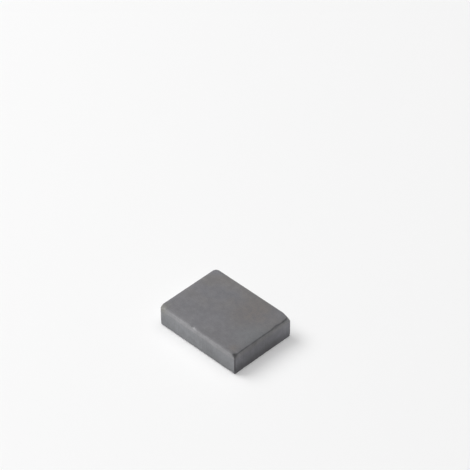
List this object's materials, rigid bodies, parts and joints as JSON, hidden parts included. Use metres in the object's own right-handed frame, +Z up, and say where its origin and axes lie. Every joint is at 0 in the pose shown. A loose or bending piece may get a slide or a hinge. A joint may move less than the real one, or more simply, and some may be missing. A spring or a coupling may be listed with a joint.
{
  "type": "ferrite block magnet",
  "caption": "Small rectangular ferrite block magnet, matte dark grey, with flat pole faces, rounded edges and worn, lightly chipped corners, for holding, latching or sensing.",
  "frame": {"origin": "middle of the lower pole face", "axes": "+X along the length, +Y across the width, +Z up through the thickness, from the lower pole face to the upper one"},
  "size_m": [0.02, 0.015, 0.005],
  "materials": {
    "ferrite": "matte sintered ferrite, fine ground on the pole faces and as fired on the sides"
  },
  "bodies": {
    "root": {"magnet_block": "ferrite"}
  },
  "joints": []
}
